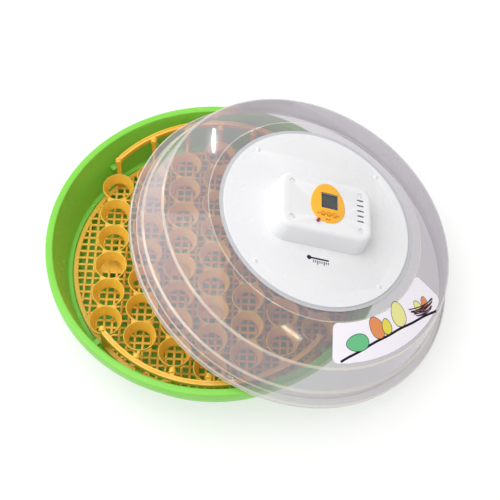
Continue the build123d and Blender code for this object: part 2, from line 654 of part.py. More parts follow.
def button(name):
    x, y = BUTTON_XS[name], BUTTON_Y
    flange_top = BOX_ROOF - JOIN_GAP
    cap = standing(BUTTON_R, flange_top - BUTTON_FLANGE_T, BEZEL_TOP + BUTTON_PROUD, x, y)
    cap = fillet(cap.edges().group_by(Axis.Z)[-1], BUTTON_PROUD / 2)
    return cap + standing(BUTTON_FLANGE_R, flange_top - BUTTON_FLANGE_T, flange_top, x, y)


def egg_outline():
    """Egg shape: half a circle at the broad end and half an ellipse towards +Y."""
    broad = CenterArc(EGG_AT, EGG_R, start_angle=180, arc_size=180)
    narrow = EllipticalCenterArc(EGG_AT, EGG_R, EGG_LONG, start_angle=0, arc_size=180)
    return make_face(Wire([broad.edge(), narrow.edge()]))


def display_bezel():
    bezel = extrude(Pos(0, 0, BOX_TOP) * egg_outline(), BEZEL_T)
    bezel = fillet(bezel.edges().group_by(Axis.Z)[-1], BEZEL_T / 2)
    bezel -= block(PANE + PIN_PLAY, PANE + PIN_PLAY, BOX_TOP - 1, BOX_TOP + PANE_T, *PANE_AT)
    bezel -= block(PANE - 2 * PANE_LIP, PANE - 2 * PANE_LIP, BOX_TOP, BEZEL_TOP + 1, *PANE_AT)
    hole_r = BUTTON_R + JOIN_GAP
    return bezel - [standing(hole_r, BOX_TOP - 1, BEZEL_TOP + 1, x, y) for x, y in button_spots()]


def lcd_window():
    return block(PANE, PANE, BOX_TOP, BOX_TOP + PANE_T, *PANE_AT)


def status_led():
    x, y = LED_AT
    led = standing(LED_R, DISPLAY_BOARD_TOP, BOX_TOP + LED_PROUD, x, y)
    return fillet(led.edges().group_by(Axis.Z)[-1], LED_R * 0.9)


def cable_gland():
    """Bush in the box's rear wall that the mains lead passes through."""
    drop = GLAND_H * math.tan(math.radians(BOX_TAPER))
    wall_y, height = BOX_W / 2 - drop, DISC_TOP + GLAND_H
    body_len = GLAND_IN + GLAND_OUT
    gland = along_y(GLAND_BODY_R, body_len, GLAND_X, wall_y + (GLAND_OUT - GLAND_IN) / 2, height)
    flange_y = wall_y + GLAND_FLANGE_R * math.tan(math.radians(BOX_TAPER)) + JOIN_GAP
    gland += along_y(GLAND_FLANGE_R, GLAND_OUT / 3, GLAND_X, flange_y + GLAND_OUT / 6, height)
    return gland - along_y(GLAND_BORE_R, 2 * body_len, GLAND_X, wall_y, height)


def label_sticker():
    """Thin label on the slope, between two radii and two angles, with rounded corners."""
    low, high = slope_height(LABEL_OUT_R), slope_height(LABEL_IN_R)
    skin = Plane.XZ * make_face(Polyline(
        (LABEL_IN_R, high), (LABEL_OUT_R, low), (LABEL_OUT_R, low + LABEL_T),
        (LABEL_IN_R, high + LABEL_T), (LABEL_IN_R, high)))
    shell = revolve(skin, Axis.Z)
    rays = [(LABEL_OUT_R * 2 * math.cos(math.radians(a)), LABEL_OUT_R * 2 * math.sin(math.radians(a)))
            for a in (LABEL_FROM, LABEL_TO)]
    sector = make_face(Polyline((0, 0), rays[0], rays[1], (0, 0)))
    plan = (Circle(LABEL_OUT_R) - Circle(LABEL_IN_R)) & sector
    plan = fillet(plan.vertices(), LABEL_CORNER)
    return shell & extrude(plan, 2 * DOME_TOP)


def range_mark():
    return block(*MARK_SIZE, DISC_TOP, DISC_TOP + MARK_T, *MARK_AT)


FIXED = {
    "base_bowl": base_bowl, "rubber_feet": rubber_feet, "mesh_tray": mesh_tray,
    "row_bearings": row_bearings}
ON_LID = {
    "lid_dome": lid_dome, "disc_seal": disc_seal, "top_disc": top_disc, "disc_screws": disc_screws,
    "heater_pan": heater_pan, "heater_tube": heater_tube, "heater_end_caps": heater_end_caps,
    "heater_clips": heater_clips, "reflector": reflector, "temperature_probe": temperature_probe,
    "thermal_cutout": thermal_cutout, "control_box_base": control_box_base,
    "control_box_cover": control_box_cover, "box_screws": box_screws, "circuit_board": circuit_board,
    "power_supply": power_supply, "relay": relay, "terminal_block": terminal_block,
    "display_board": display_board, "lcd_module": lcd_module, "tact_switches": tact_switches,
    "display_bezel": display_bezel, "lcd_window": lcd_window, "status_led": status_led,
    "cable_gland": cable_gland, "label_sticker": label_sticker, "range_mark": range_mark}


def make_nodes():
    nodes = {name: build() for name, build in FIXED.items()}
    for n in range(1, ROWS + 1):
        nodes[f"egg_row_{n}"] = egg_row(n)
    nodes["rear_link_bar"] = link_bar(1)
    nodes["front_link_bar"] = link_bar(-1)
    for name, build in ON_LID.items():
        nodes[name] = LID_REST * build()
    for name in BUTTON_XS:
        nodes[name] = LID_REST * button(name)
    return nodes


os.makedirs("parts", exist_ok=True)
for node_name, shape in make_nodes().items():
    export_step(shape, f"parts/{node_name}.step")
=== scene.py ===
import json
import math
import bmesh
import bpy
from mathutils import Matrix, Vector


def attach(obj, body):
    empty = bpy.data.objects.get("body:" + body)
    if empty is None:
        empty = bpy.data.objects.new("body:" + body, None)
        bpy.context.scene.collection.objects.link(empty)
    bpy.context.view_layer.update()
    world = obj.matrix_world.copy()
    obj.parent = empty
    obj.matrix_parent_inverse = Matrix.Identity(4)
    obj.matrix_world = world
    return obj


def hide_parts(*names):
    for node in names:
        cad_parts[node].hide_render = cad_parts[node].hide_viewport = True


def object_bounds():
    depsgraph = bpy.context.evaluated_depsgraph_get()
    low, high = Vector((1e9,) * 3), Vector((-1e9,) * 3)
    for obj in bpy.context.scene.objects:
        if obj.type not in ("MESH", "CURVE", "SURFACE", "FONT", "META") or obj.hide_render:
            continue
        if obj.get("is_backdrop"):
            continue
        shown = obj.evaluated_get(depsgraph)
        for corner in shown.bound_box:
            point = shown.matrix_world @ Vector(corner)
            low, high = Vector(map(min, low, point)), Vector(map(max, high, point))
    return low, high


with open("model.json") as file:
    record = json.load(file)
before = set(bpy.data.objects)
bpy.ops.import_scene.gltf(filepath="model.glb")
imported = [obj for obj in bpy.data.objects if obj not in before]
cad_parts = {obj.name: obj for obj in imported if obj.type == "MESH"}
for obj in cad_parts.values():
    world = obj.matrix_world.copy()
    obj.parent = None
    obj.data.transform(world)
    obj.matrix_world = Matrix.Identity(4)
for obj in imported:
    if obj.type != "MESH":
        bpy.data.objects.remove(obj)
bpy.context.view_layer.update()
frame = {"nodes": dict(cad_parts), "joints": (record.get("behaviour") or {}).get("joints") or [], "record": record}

# ------------------------------------------------------------------ studio
# A seamless white table under a big overhead softbox, in a room that dims towards the right. Small
# bright windows and bars draw the streaks on the clear dome. The camera looks down from the front.

MM = 0.001
scene = bpy.context.scene
scene.view_settings.view_transform = "Standard"


def hex_colour(code):
    """An sRGB hex value as the linear colour that shaders and lights take."""
    parts = [int(code[i:i + 2], 16) / 255 for i in (1, 3, 5)]
    return tuple(p / 12.92 if p <= 0.04045 else ((p + 0.055) / 1.055) ** 2.4 for p in parts) + (1.0,)


def add_node(tree, kind, inputs=None, **settings):
    """A node with its settings, and its inputs linked to sockets or set to values."""
    node = tree.nodes.new(kind)
    for key, value in settings.items():
        setattr(node, key, value)
    for key, value in (inputs or {}).items():
        if isinstance(value, bpy.types.NodeSocket):
            tree.links.new(value, node.inputs[key])
        else:
            node.inputs[key].default_value = value
    return node


def mapped(tree, value, low, high, start=0.0, end=1.0):
    """The value, with its range from start to end spread from low to high."""
    return add_node(tree, "ShaderNodeMapRange", {
        "Value": value, "From Min": start, "From Max": end, "To Min": low, "To Max": high}).outputs["Result"]


def new_material(name, settings):
    """An empty material with one Principled shader; returns the material, its tree and the shader."""
    material = bpy.data.materials.new(name)
    material.use_nodes = True
    tree = material.node_tree
    tree.nodes.clear()
    shader = add_node(tree, "ShaderNodeBsdfPrincipled", settings)
    add_node(tree, "ShaderNodeOutputMaterial", {"Surface": shader.outputs["BSDF"]})
    return material, tree, shader


def new_object(name, mesh):
    piece = bpy.data.objects.new(name, mesh)
    scene.collection.objects.link(piece)
    return piece


view_azimuth, view_elevation, view_roll = (math.radians(a) for a in (-1.314, 59.006, 3.235))
view_distance = 2.0974
view_target = Vector((0.0589, 0.0213, 0.05))
back = Vector((math.sin(view_azimuth) * math.cos(view_elevation),
               -math.cos(view_azimuth) * math.cos(view_elevation), math.sin(view_elevation)))
level = Vector((math.cos(view_azimuth), math.sin(view_azimuth), 0))
rise = back.cross(level)
right = level * math.cos(view_roll) + rise * math.sin(view_roll)
up = rise * math.cos(view_roll) - level * math.sin(view_roll)
camera = bpy.data.objects.new("camera", bpy.data.cameras.new("camera"))
camera.data.lens = 88.33
camera.data.sensor_width = 36
camera.matrix_world = Matrix((
    (right.x, up.x, back.x, 0), (right.y, up.y, back.y, 0), (right.z, up.z, back.z, 0), (0, 0, 0, 1)))
camera.location = view_target + back * view_distance
scene.collection.objects.link(camera)
scene.camera = camera


def softbox(name, place, aim, size, power, colour="#FFFFFF"):
    """A rectangular area light that points at a spot."""
    light = bpy.data.lights.new(name, "AREA")
    light.shape = "RECTANGLE"
    light.size, light.size_y = size
    light.energy = power
    light.color = hex_colour(colour)[:3]
    lamp = bpy.data.objects.new(name, light)
    lamp.location = place
    lamp.rotation_euler = (Vector(aim) - Vector(place)).to_track_quat("-Z", "Y").to_euler()
    scene.collection.objects.link(lamp)


softbox("overhead", (-0.8, -0.1, 2.5), (0.05, 0, 0), (2.4, 2.2), 41)
softbox("back_window", (-0.02, 1.67, 1.2), (0.0, 0.15, 0.15), (0.03, 0.42), 1.3)
softbox("back_bar", (0.6, 1.55, 1.25), (0.1, 0.1, 0.15), (0.4, 0.05), 1.0)
softbox("front_window", (1.05, -0.62, 1.75), (0.1, -0.2, 0.15), (0.04, 0.3), 0.9, "#FFF0CC")
softbox("bend_bar", (0.9, 0.24, 1.8), (0.1, -0.1, 0.15), (0.5, 0.05), 1.2, "#FFF0CC")
softbox("left_strip", (-1.35, 1.05, 0.85), (-0.1, 0, 0.2), (0.1, 0.5), 2.2)

world = bpy.data.worlds.new("studio_walls")
world.use_nodes = True
walls = world.node_tree.nodes["Background"]
walls.inputs["Color"].default_value = hex_colour("#FDFDFF")
heading = add_node(world.node_tree, "ShaderNodeSeparateXYZ", {
    "Vector": add_node(world.node_tree, "ShaderNodeTexCoord").outputs["Generated"]})
dimming = mapped(world.node_tree, heading.outputs["X"], 0.95, 0.4, -1.0, 1.0)
world.node_tree.links.new(dimming, walls.inputs["Strength"])
scene.world = world

table_reach = 12.0
table_corners = [(x * table_reach, y * table_reach, 0) for x, y in ((-1, -1), (1, -1), (1, 1), (-1, 1))]
table_mesh = bpy.data.meshes.new("table")
table_mesh.from_pydata(table_corners, [], [(0, 1, 2, 3)])
table = new_object("table", table_mesh)
table_paint, _, _ = new_material("white_lit_table", {
    "Base Color": hex_colour("#A6A6A6"), "Roughness": 0.9, "Emission Color": hex_colour("#FFFFFF"),
    "Emission Strength": 0.62})
table.data.materials.append(table_paint)
table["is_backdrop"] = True

# ------------------------------------------------------------------ bowl
# Injection-moulded polypropylene bowl, dyed green through: a rolled lip with a down-turned skirt, a
# tapered wall, a shelf for the tray and a well with water channels. It is one piece, turned about Z,
# with small gussets moulded on the inside of the wall.


def rounded(points):
    """A polyline from (x, z, radius) corners, with each corner that has a radius cut as an arc."""
    line = []
    count = len(points)
    for i, (x, z, radius) in enumerate(points):
        here = Vector((x, z))
        if not radius:
            line.append(here)
            continue
        before = (Vector(points[i - 1][:2]) - here).normalized()
        after = (Vector(points[(i + 1) % count][:2]) - here).normalized()
        half = before.angle(after) / 2
        centre = here + (before + after).normalized() * (radius / math.sin(half))
        start = here + before * (radius / math.tan(half)) - centre
        end = here + after * (radius / math.tan(half)) - centre
        turn = start.angle_signed(end)
        steps = max(2, round(abs(turn) / math.radians(15)))
        for k in range(steps + 1):
            a = -turn * k / steps
            line.append(centre + Vector((start.x * math.cos(a) - start.y * math.sin(a),
                                         start.x * math.sin(a) + start.y * math.cos(a))))
    return line


def new_tree(name, sockets):
    """A Geometry Nodes tree with named inputs; returns it and the sockets that give them."""
    tree = bpy.data.node_groups.new(name, "GeometryNodeTree")
    tree.interface.new_socket("Geometry", in_out="OUTPUT", socket_type="NodeSocketGeometry")
    tree.interface.new_socket("Geometry", in_out="INPUT", socket_type="NodeSocketGeometry")
    for label, kind in sockets.items():
        tree.interface.new_socket(label, in_out="INPUT", socket_type="NodeSocket" + kind)
    return tree, add_node(tree, "NodeGroupInput").outputs


def end_tree(tree, geometry, given):
    """Realizes the instances, sets the material named Plastic and ends the tree."""
    solid = add_node(tree, "GeometryNodeRealizeInstances", {"Geometry": geometry})
    coated = add_node(tree, "GeometryNodeSetMaterial",
                      {"Geometry": solid.outputs["Geometry"], "Material": given["Plastic"]})
    add_node(tree, "NodeGroupOutput", {"Geometry": coated.outputs["Geometry"]})


def baked(piece):
    """The piece's mesh with its modifiers applied, and none left on it."""
    bpy.context.view_layer.update()
    evaluated = piece.evaluated_get(bpy.context.evaluated_depsgraph_get())
    mesh = bpy.data.meshes.new_from_object(evaluated)
    piece.modifiers.clear()
    piece.data = mesh
    return piece


def grow(piece, tree, values):
    """Runs a Geometry Nodes tree on the piece with these inputs and keeps the plain mesh."""
    modifier = piece.modifiers.new("nodes", "NODES")
    modifier.node_group = tree
    names = {s.name: s.identifier for s in tree.interface.items_tree if s.in_out == "INPUT"}
    for name, value in values.items():
        modifier[names[name]] = value
    return baked(piece)


def soft_shaded(piece, corner=32.0):
    """Smooth shading with a crease wherever two faces meet at more than the corner angle."""
    piece.data.shade_smooth()
    piece.data.set_sharp_from_angle(angle=math.radians(corner))


weld = 0.002 * MM


def faces_out(piece):
    """Merges doubled points and turns every face of a closed mesh outwards."""
    work = bmesh.new()
    work.from_mesh(piece.data)
    bmesh.ops.remove_doubles(work, verts=work.verts, dist=weld)
    bmesh.ops.dissolve_degenerate(work, edges=work.edges, dist=weld)
    bmesh.ops.recalc_face_normals(work, faces=work.faces)
    work.to_mesh(piece.data)
    work.free()


turned, given = new_tree("turned", {"Facets": "Int", "Plastic": "Material"})
section = add_node(turned, "GeometryNodeMeshToCurve", {"Mesh": given["Geometry"]})
wheel = add_node(turned, "GeometryNodeCurvePrimitiveCircle",
                 {"Resolution": given["Facets"], "Radius": 1.0})
swept = add_node(turned, "GeometryNodeCurveToMesh",
                 {"Curve": wheel.outputs["Curve"], "Profile Curve": section.outputs["Curve"]})
closed = add_node(turned, "GeometryNodeMergeByDistance",
                  {"Geometry": swept.outputs["Mesh"], "Distance": 0.004 * MM})
end_tree(turned, closed.outputs["Geometry"], given)


def turned_piece(name, corners, facets, material, shut=True):
    """A piece turned about Z from the corners of its half-section, given in millimetres."""
    line = rounded(corners)
    ring = bpy.data.meshes.new(name)
    edges = [(i, i + 1) for i in range(len(line) - 1)] + ([(len(line) - 1, 0)] if shut else [])
    ring.from_pydata([(p.x * MM - 1.0, -p.y * MM, 0) for p in line], edges, [])
    piece = grow(new_object(name, ring), turned, {"Facets": facets, "Plastic": material})
    faces_out(piece)
    return piece


def clouds(tree, size, detail):
    """Noise fixed to the object, in patches about this many millimetres across."""
    place = add_node(tree, "ShaderNodeTexCoord").outputs["Object"]
    return add_node(tree, "ShaderNodeTexNoise", {
        "Vector": place, "Scale": 1 / (size * MM), "Detail": detail}).outputs["Fac"]


def moulded_plastic(name, colour, deep, roughness, mottle, grain, relief, extra=None):
    """Moulded thermoplastic: a slow drift between two shades and a fine spark-eroded grain."""
    material, tree, shader = new_material(name, {"IOR": 1.49, **(extra or {})})
    drift = clouds(tree, mottle, 3.0)
    shade = add_node(tree, "ShaderNodeMix", {0: drift}, data_type="RGBA")
    shade.inputs["A"].default_value = hex_colour(colour)
    shade.inputs["B"].default_value = hex_colour(deep)
    tree.links.new(shade.outputs["Result"], shader.inputs["Base Color"])
    polish = mapped(tree, drift, roughness * 0.85, roughness * 1.2, 0.3, 0.7)
    tree.links.new(polish, shader.inputs["Roughness"])
    bump = add_node(tree, "ShaderNodeBump", {
        "Height": clouds(tree, grain, 2.0), "Strength": 0.35, "Distance": relief * MM})
    tree.links.new(bump.outputs["Normal"], shader.inputs["Normal"])
    return material


# The dye is strong and the plastic lets a little light in, so the lip glows where it is thin.
bowl_plastic = moulded_plastic(
    "moulded_green_polypropylene", "#88D84C", "#7BCC42", 0.3, 60, 0.9, 0.03,
    {"Subsurface Weight": 0.12, "Subsurface Scale": 0.006, "Subsurface Radius": (0.6, 1.0, 0.25)})

rim_top = 111.5
lip_under, skirt_foot = rim_top - 3, rim_top - 20
wall_foot, wall_head = (250, 29), (268, rim_top)
floor_top, ridge_top, ridge_foot_half, ridge_head_half = 7, 16, 1.6, 1.25
bowl_corners = [
    (0, 4, 0), (236, 4, 2), (236, 22, 1), (253, 26, 2), (271, lip_under, 1.5), (277, lip_under, 1.5),
    (277, skirt_foot, 0), (280, skirt_foot, 0.8), (280, rim_top, 2.6), (*wall_head, 2.6),
    (*wall_foot, 3), (242.5, 29, 1), (242.5, 25, 0.5), (233, 25, 1), (233, floor_top, 2)]
for ridge in (180, 125, 70):
    bowl_corners += [(ridge + ridge_foot_half, floor_top, 1), (ridge + ridge_head_half, ridge_top, 0.9),
                     (ridge - ridge_head_half, ridge_top, 0.9), (ridge - ridge_foot_half, floor_top, 1)]
bowl = turned_piece("bowl", bowl_corners + [(0, floor_top, 0)], 224, bowl_plastic)


def join(piece, extras):
    """Adds the meshes of other objects to the piece and removes those objects."""
    work = bmesh.new()
    work.from_mesh(piece.data)
    for extra in extras:
        work.from_mesh(extra.data)
        bpy.data.objects.remove(extra)
    work.to_mesh(piece.data)
    work.free()


def mesh_object(work, name, material):
    """Ends a bmesh as a new object with this material."""
    mesh = bpy.data.meshes.new(name)
    work.to_mesh(mesh)
    work.free()
    mesh.materials.append(material)
    return new_object(name, mesh)


def round_edges(piece, edge, segments, corner):
    """Rounds the edges at which two faces meet at more than the corner angle."""
    rounding = piece.modifiers.new("edge", "BEVEL")
    rounding.width = edge * MM
    rounding.segments = segments
    rounding.limit_method = "ANGLE"
    rounding.angle_limit = math.radians(corner)
    baked(piece)


def prism(name, outline, low, high, edge, material):
    """An upright prism from an outline in millimetres, with its edges rounded."""
    work = bmesh.new()
    floor = [work.verts.new((x * MM, y * MM, low * MM)) for x, y in outline]
    roof = [work.verts.new((x * MM, y * MM, high * MM)) for x, y in outline]
    work.faces.new(list(reversed(floor)))
    work.faces.new(roof)
    for i in range(len(outline)):
        k = (i + 1) % len(outline)
        work.faces.new((floor[i], floor[k], roof[k], roof[i]))
    bmesh.ops.recalc_face_normals(work, faces=work.faces)
    piece = mesh_object(work, name, material)
    if edge:
        round_edges(piece, edge, 3, 40)
    return piece


def wall_radius(z):
    """Radius of the inside of the bowl's wall at a height."""
    share = (z - wall_foot[1]) / (wall_head[1] - wall_foot[1])
    return wall_foot[0] + share * (wall_head[0] - wall_foot[0])


lug_top, lug_height, lug_reach, lug_width, lug_root = 66, 16, 11, 10, 1.5
lug_foot = lug_top - lug_height
wedge = [(wall_radius(lug_top) - lug_reach, lug_top), (wall_radius(lug_top) + lug_root, lug_top),
         (wall_radius(lug_foot) + lug_root, lug_foot)]
lugs = []
for bearing in (43, 63, 117, 137, 223, 243, 297, 317):
    lug = prism("lug", wedge, -lug_width / 2, lug_width / 2, 0.8, bowl_plastic)
    lug.data.transform(Matrix.Rotation(math.radians(bearing), 4, "Z") @ Matrix.Rotation(math.pi / 2, 4, "X"))
    lugs.append(lug)
pad = turned_piece("pad", [(0, 0, 0), (25, 0, 1), (25, 5, 0), (0, 5, 0)], 64, bowl_plastic)
join(bowl, lugs + [pad])
soft_shaded(bowl)
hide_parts("base_bowl")
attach(bowl, "base")

# ------------------------------------------------------------------ feet
# Twelve pucks of black rubber, pressed into shallow sockets under the bowl in four groups of three.
# Rubber is matt, with a slight dusty bloom.


def maths(tree, operation, a, b=0.0):
    return add_node(tree, "ShaderNodeMath", {0: a, 1: b}, operation=operation).outputs["Value"]


def points_object(name, spots):
    """Loose points, given in millimetres, for a Geometry Nodes tree to work on."""
    mesh = bpy.data.meshes.new(name)
    mesh.from_pydata([(x * MM, y * MM, z * MM) for x, y, z in spots], [], [])
    return new_object(name, mesh)


foot_tree, given = new_tree("feet", {"Radius": "Float", "Height": "Float", "Plastic": "Material"})
puck = add_node(foot_tree, "GeometryNodeMeshCone", {
    "Vertices": 40, "Radius Top": given["Radius"], "Depth": given["Height"],
    "Radius Bottom": maths(foot_tree, "MULTIPLY", given["Radius"], 0.9)})
stand = add_node(foot_tree, "GeometryNodeInstanceOnPoints",
                 {"Points": given["Geometry"], "Instance": puck.outputs["Mesh"]})
end_tree(foot_tree, stand.outputs["Instances"], given)

foot_rubber = moulded_plastic("black_rubber", "#17171A", "#232327", 0.75, 12, 0.5, 0.04)
foot_circle, foot_step = 228, 15
foot_angles = [math.radians(side + step) for side in (0, 90, 180, 270) for step in (-foot_step, 0, foot_step)]
foot_spots = [(foot_circle * math.cos(a), foot_circle * math.sin(a), 0) for a in foot_angles]
feet = grow(points_object("feet", foot_spots), foot_tree, {
    "Radius": 6 * MM, "Height": 5 * MM, "Plastic": foot_rubber})
soft_shaded(feet)
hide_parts("rubber_feet")
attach(feet, "base")

# ------------------------------------------------------------------ hatching tray
# One moulding of amber polypropylene: bars crossed at right angles inside a plain band, with a few
# cells left solid where the plastic was fed in. The bars have rounded tops, as a mould's cut grooves give.

tray_plastic = moulded_plastic(
    "moulded_amber_polypropylene", "#FAC94C", "#F2B83E", 0.28, 45, 0.8, 0.03,
    {"Subsurface Weight": 0.1, "Subsurface Scale": 0.004, "Subsurface Radius": (1.0, 0.45, 0.1)})

tray_tree, given = new_tree("crossed_bars", {
    "Bars": "Int", "Pitch": "Float", "Bar Width": "Float", "Depth": "Float", "Mesh Radius": "Float",
    "Band Width": "Float", "Patch Width": "Float", "Patch Length": "Float", "Plastic": "Material"})
gaps = maths(tray_tree, "SUBTRACT", given["Bars"], 1.0)
half_width = maths(tray_tree, "MULTIPLY", maths(tray_tree, "MULTIPLY", gaps, given["Pitch"]), -0.5)
first = add_node(tray_tree, "ShaderNodeCombineXYZ", {"X": half_width})
step = add_node(tray_tree, "ShaderNodeCombineXYZ", {"X": given["Pitch"]})
row = add_node(tray_tree, "GeometryNodeMeshLine",
               {"Count": given["Bars"], "Start Location": first.outputs["Vector"],
                "Offset": step.outputs["Vector"]})
spot = add_node(tray_tree, "ShaderNodeSeparateXYZ",
                {"Vector": add_node(tray_tree, "GeometryNodeInputPosition").outputs["Position"]})
radius_squared = maths(tray_tree, "POWER", given["Mesh Radius"], 2.0)
off_squared = maths(tray_tree, "POWER", maths(tray_tree, "ABSOLUTE", spot.outputs["X"]), 2.0)
half_chord = maths(tray_tree, "SQRT", maths(tray_tree, "SUBTRACT", radius_squared, off_squared))
chord = maths(tray_tree, "MULTIPLY", half_chord, 2.0)
stretch = add_node(tray_tree, "ShaderNodeCombineXYZ", {"X": 1.0, "Y": chord, "Z": 1.0})


def filleted_section(tree, width, depth, radius):
    """A rectangle with rounded corners, as the section of a swept bar."""
    plain = add_node(tree, "GeometryNodeCurvePrimitiveQuadrilateral", {"Width": width, "Height": depth})
    soft = add_node(tree, "GeometryNodeFilletCurve", {
        "Curve": plain.outputs["Curve"], "Radius": radius, "Count": 3}, mode="POLY")
    return soft.outputs["Curve"]


bar_fillet = 1.1 * MM
bar_line = add_node(tray_tree, "GeometryNodeCurvePrimitiveLine", {"Start": (0, -0.5, 0), "End": (0, 0.5, 0)})
bar = add_node(tray_tree, "GeometryNodeCurveToMesh", {
    "Curve": bar_line.outputs["Curve"], "Fill Caps": True,
    "Profile Curve": filleted_section(tray_tree, given["Bar Width"], given["Depth"], bar_fillet)})
along = add_node(tray_tree, "GeometryNodeInstanceOnPoints", {
    "Points": row.outputs["Mesh"], "Instance": bar.outputs["Mesh"], "Scale": stretch.outputs["Vector"]})
across = add_node(tray_tree, "GeometryNodeTransform",
                  {"Geometry": along.outputs["Instances"], "Rotation": (0, 0, math.pi / 2)})
band_middle = maths(tray_tree, "ADD", given["Mesh Radius"], maths(
    tray_tree, "MULTIPLY", given["Band Width"], 0.5))
band_line = add_node(tray_tree, "GeometryNodeCurvePrimitiveCircle", {
    "Resolution": 180, "Radius": band_middle})
band = add_node(tray_tree, "GeometryNodeCurveToMesh", {
    "Curve": band_line.outputs["Curve"],
    "Profile Curve": filleted_section(tray_tree, given["Band Width"], given["Depth"], bar_fillet)})
patch_size = add_node(tray_tree, "ShaderNodeCombineXYZ", {
    "X": given["Patch Width"], "Y": given["Patch Length"],
    "Z": maths(tray_tree, "MULTIPLY", given["Depth"], 0.9)})
plate = add_node(tray_tree, "GeometryNodeMeshCube", {"Size": patch_size.outputs["Vector"]})
patches = add_node(tray_tree, "GeometryNodeInstanceOnPoints",
                   {"Points": given["Geometry"], "Instance": plate.outputs["Mesh"]})
whole = add_node(tray_tree, "GeometryNodeJoinGeometry")
for part in (along.outputs["Instances"], across.outputs["Geometry"], band.outputs["Mesh"],
             patches.outputs["Instances"]):
    tray_tree.links.new(part, whole.inputs["Geometry"])
end_tree(tray_tree, whole.outputs["Geometry"], given)

mesh_pitch, tray_low, tray_depth = 13.3, 25, 5
patch_cells = [(-13, -0.5), (-4, -0.5), (0, -6.5)]
patch_points = points_object("hatching_tray", [(x * mesh_pitch, y * mesh_pitch, 0) for x, y in patch_cells])
tray = grow(patch_points, tray_tree, {
    "Bars": 34, "Pitch": mesh_pitch * MM, "Bar Width": 4.2 * MM, "Depth": tray_depth * MM,
    "Mesh Radius": 233 * MM, "Band Width": 8 * MM, "Patch Width": 3 * mesh_pitch * MM,
    "Patch Length": 2 * mesh_pitch * MM, "Plastic": tray_plastic})
tray.data.transform(Matrix.Translation((0, 0, (tray_low + tray_depth / 2) * MM)))
soft_shaded(tray)
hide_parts("mesh_tray")
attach(tray, "base")

# ------------------------------------------------------------------ egg rows
# Seven amber mouldings, each a chain of open cups with a flat post at both ends. The cups' rims are
# rounded beads that catch the light; the webs between them are flush with the rims.

node_body = {node: body for body, nodes in frame["record"]["behaviour"]["bodies"].items() for node in nodes}


def eased_copy(node, name, edge, material, segments=2):
    """A copy of a moulded or pressed piece whose sharp edges are rounded, as every real edge is."""
    work = bmesh.new()
    work.from_mesh(frame["nodes"][node].data)
    bmesh.ops.remove_doubles(work, verts=work.verts, dist=weld)
    bmesh.ops.dissolve_limit(work, angle_limit=math.radians(0.5), verts=work.verts, edges=work.edges)
    piece = mesh_object(work, name, material)
    round_edges(piece, edge, segments, 38)
    soft_shaded(piece)
    return piece


def stands_for(piece, node):
    """The piece is shown in place of the CAD node and moves with its body."""
    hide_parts(node)
    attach(piece, node_body[node])


bead_tree, given = new_tree("cup_rims", {"Rim Radius": "Float", "Bead": "Float", "Plastic": "Material"})
rim_line = add_node(bead_tree, "GeometryNodeCurvePrimitiveCircle",
                    {"Resolution": 56, "Radius": given["Rim Radius"]})
bead_line = add_node(bead_tree, "GeometryNodeCurvePrimitiveCircle",
                     {"Resolution": 8, "Radius": given["Bead"]})
bead = add_node(bead_tree, "GeometryNodeCurveToMesh",
                {"Curve": rim_line.outputs["Curve"], "Profile Curve": bead_line.outputs["Curve"]})
rims = add_node(bead_tree, "GeometryNodeInstanceOnPoints",
                {"Points": given["Geometry"], "Instance": bead.outputs["Mesh"]})
end_tree(bead_tree, rims.outputs["Instances"], given)

cup_pitch, row_pitch, bead_height, middle_row = 52.4, 58.0, 63.9, 4
for n, cups in enumerate((6, 7, 8, 9, 8, 7, 6), start=1):
    row_piece = eased_copy(f"egg_row_{n}", f"egg_row_{n}_moulding", 0.45, tray_plastic)
    rim_points = points_object("rims", [
        ((n - middle_row) * row_pitch, (i - (cups - 1) / 2) * cup_pitch, bead_height) for i in range(cups)])
    beads = grow(rim_points, bead_tree, {"Rim Radius": 26.1 * MM, "Bead": 1.0 * MM, "Plastic": tray_plastic})
    beads.data.shade_smooth()
    join(row_piece, [beads])
    stands_for(row_piece, f"egg_row_{n}")

for node in ("row_bearings", "front_link_bar", "rear_link_bar"):
    stands_for(eased_copy(node, node + "_moulding", 0.5, tray_plastic), node)

# ------------------------------------------------------------------ clear dome
# Vacuum-clear polystyrene shell two millimetres thick: band, flange, stepped skirt, rounded shoulder
# and slope. It is slightly milky, so what lies behind it pales. Its bends draw bright lines, partly from
# real gloss and partly as a painted highlight: the faces along each bend take a pale, denser copy of the plastic.


def worn(name, settings, patch, spread):
    """A material whose roughness varies in soft patches, as handling, moulding and plating leave it."""
    material, tree, shader = new_material(name, settings)
    base = shader.inputs["Roughness"].default_value
    span = mapped(tree, clouds(tree, patch, 4.0), base - spread, base + spread, 0.3, 0.7)
    tree.links.new(span, shader.inputs["Roughness"])
    return material


joints = {joint["name"]: joint for joint in frame["joints"]}
heater_height = 79 * MM
lid_up = -Vector(joints["button_menu_press"]["axis"])
lid_middle = Vector(joints["lid_level"]["pos_m"]) - lid_up * heater_height
lid_place = Matrix.Translation(lid_middle) @ Matrix.Rotation(math.atan2(lid_up.x, lid_up.z), 4, "Y")

clear_plastic, tree, shader = new_material("clear_polystyrene", {
    "Base Color": hex_colour("#B8AEBD"), "Roughness": 0.1, "IOR": 1.59, "Coat Weight": 1.0,
    "Coat Roughness": 0.03})
edge_on = add_node(tree, "ShaderNodeLayerWeight", {"Blend": 0.35})
tree.links.new(mapped(tree, edge_on.outputs["Facing"], 0.24, 0.74), shader.inputs["Alpha"])
wave = add_node(tree, "ShaderNodeBump", {
    "Height": clouds(tree, 35, 1.0), "Strength": 0.25, "Distance": 1.2 * MM})
tree.links.new(wave.outputs["Normal"], shader.inputs["Normal"])

